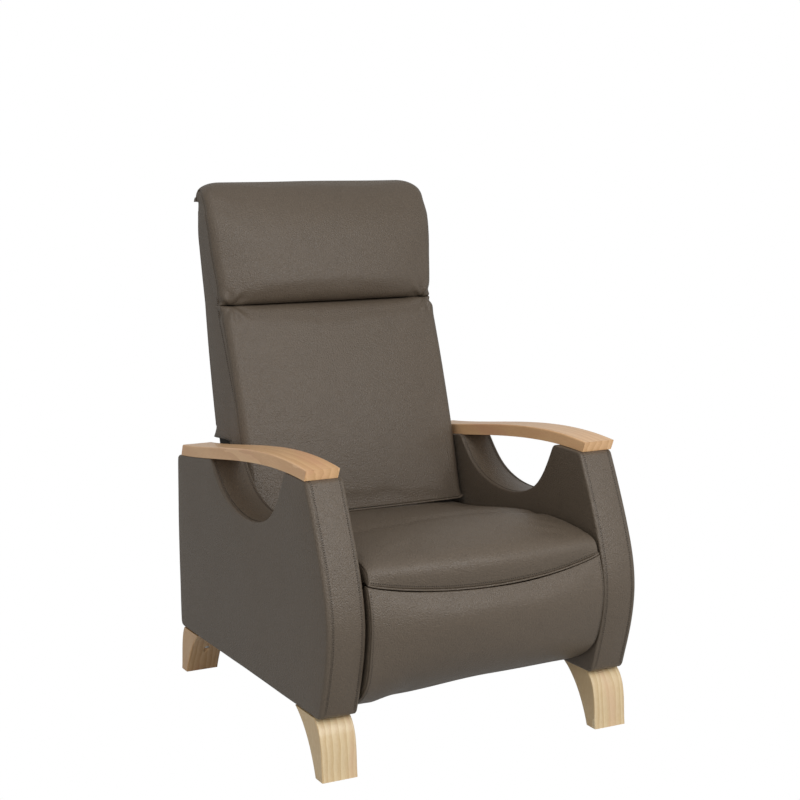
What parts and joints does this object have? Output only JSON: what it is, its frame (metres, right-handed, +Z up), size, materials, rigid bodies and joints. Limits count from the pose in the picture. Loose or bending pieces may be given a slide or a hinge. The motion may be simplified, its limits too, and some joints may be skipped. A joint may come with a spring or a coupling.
{
  "type": "recliner",
  "caption": "Push-back recliner in grey-brown leather with pierced padded arms, bent wooden armrests, short curved wooden legs, and a footrest that rises as the back tips.",
  "frame": {"origin": "middle of the footprint, on the floor", "axes": "+Z up, +X across the seat, -Y towards the front of the seat"},
  "size_m": [0.74, 0.943, 1.176],
  "materials": {
    "leather": "semi-matte, fine pebble grain",
    "armrest_wood": "satin lacquered beech",
    "leg_wood": "satin lacquered ash",
    "frame_wood": "bare sawn wood and plywood",
    "zinc_steel": "zinc plated",
    "webbing": "woven elastic",
    "lining": "black spunbond dust cloth"
  },
  "bodies": {
    "frame": {"arm_inner_board_left": "frame_wood", "arm_inner_board_right": "frame_wood", "arm_outer_board_left": "frame_wood", "arm_outer_board_right": "frame_wood", "arm_spacer_frame_left": "frame_wood", "arm_spacer_frame_right": "frame_wood", "arm_upholstery_left": "leather", "arm_upholstery_right": "leather", "armrest_dowels": "frame_wood", "armrest_left": "armrest_wood", "armrest_right": "armrest_wood", "cross_rail_bolts": "zinc_steel", "front_cross_rail": "frame_wood", "front_leg_left": "leg_wood", "front_leg_right": "leg_wood", "hinge_plate_left": "zinc_steel", "hinge_plate_right": "zinc_steel", "leg_screws": "zinc_steel", "plate_rivets": "zinc_steel", "rear_apron": "leather", "rear_cross_rail": "frame_wood", "rear_leg_left": "leg_wood", "rear_leg_right": "leg_wood", "seat_cushion": "leather", "seat_front_rail": "frame_wood", "seat_rear_rail": "frame_wood", "seat_side_rail_left": "frame_wood", "seat_side_rail_right": "frame_wood", "seat_webbing": "webbing", "side_plate_left": "zinc_steel", "side_plate_right": "zinc_steel"},
    "back": {"back_bottom_rail": "frame_wood", "back_bracket_left": "zinc_steel", "back_bracket_right": "zinc_steel", "back_cover": "leather", "back_cushion": "leather", "back_lining": "lining", "back_middle_rail": "frame_wood", "back_side_rail_left": "frame_wood", "back_side_rail_right": "frame_wood", "back_top_rail": "frame_wood", "back_webbing": "webbing", "head_pillow": "leather"},
    "front_links": {"front_link_left": "zinc_steel", "front_link_right": "zinc_steel", "front_link_rivets": "zinc_steel", "link_cross_tube": "zinc_steel"},
    "rear_links": {"rear_link_left": "zinc_steel", "rear_link_right": "zinc_steel"},
    "lower_links": {"lower_link_left": "zinc_steel", "lower_link_right": "zinc_steel"},
    "upper_links": {"upper_link_left": "zinc_steel", "upper_link_right": "zinc_steel"},
    "footrest": {"footrest_board": "frame_wood", "footrest_bracket_left": "zinc_steel", "footrest_bracket_right": "zinc_steel", "footrest_pad": "leather", "footrest_rivets": "zinc_steel"},
    "drive_rods": {"drive_rod_left": "zinc_steel", "drive_rod_right": "zinc_steel"}
  },
  "joints": [
    {"name": "back_recline", "type": "hinge", "parent": "frame", "child": "back", "pos_m": [0, 0.27154, 0.395], "axis": [-1, 0, 0], "range_deg": [0, 32]},
    {"name": "front_link_swing", "type": "hinge", "parent": "frame", "child": "front_links", "pos_m": [0, -0.33046, 0.338], "axis": [-1, 0, 0], "range_deg": [0, 82]},
    {"name": "rear_link_swing", "type": "hinge", "parent": "frame", "child": "rear_links", "pos_m": [0, -0.28662, 0.29416], "axis": [-1, 0, 0], "range_deg": [0, 82]},
    {"name": "lower_link_fold", "type": "hinge", "parent": "front_links", "child": "lower_links", "pos_m": [0, -0.26746, 0.207], "axis": [1, 0, 0], "range_deg": [0, 82]},
    {"name": "upper_link_fold", "type": "hinge", "parent": "front_links", "child": "upper_links", "pos_m": [0, -0.24059, 0.15113], "axis": [1, 0, 0], "range_deg": [0, 82]},
    {"name": "footrest_tilt", "type": "hinge", "parent": "lower_links", "child": "footrest", "pos_m": [0, -0.36046, 0.3], "axis": [-1, 0, 0], "range_deg": [0, 82]},
    {"name": "drive_rod_pivot", "type": "hinge", "parent": "back", "child": "drive_rods", "pos_m": [0, 0.28587, 0.34501], "axis": [1, 0, 0], "range_deg": [0, 32]}
  ],
  "couplings": [
    {"joint": "front_link_swing", "follows": "back_recline", "ratio": 2.5625},
    {"joint": "rear_link_swing", "follows": "back_recline", "ratio": 2.5625},
    {"joint": "lower_link_fold", "follows": "back_recline", "ratio": 2.5625},
    {"joint": "upper_link_fold", "follows": "back_recline", "ratio": 2.5625},
    {"joint": "footrest_tilt", "follows": "back_recline", "ratio": 2.5625},
    {"joint": "drive_rod_pivot", "follows": "back_recline", "ratio": 1}
  ]
}
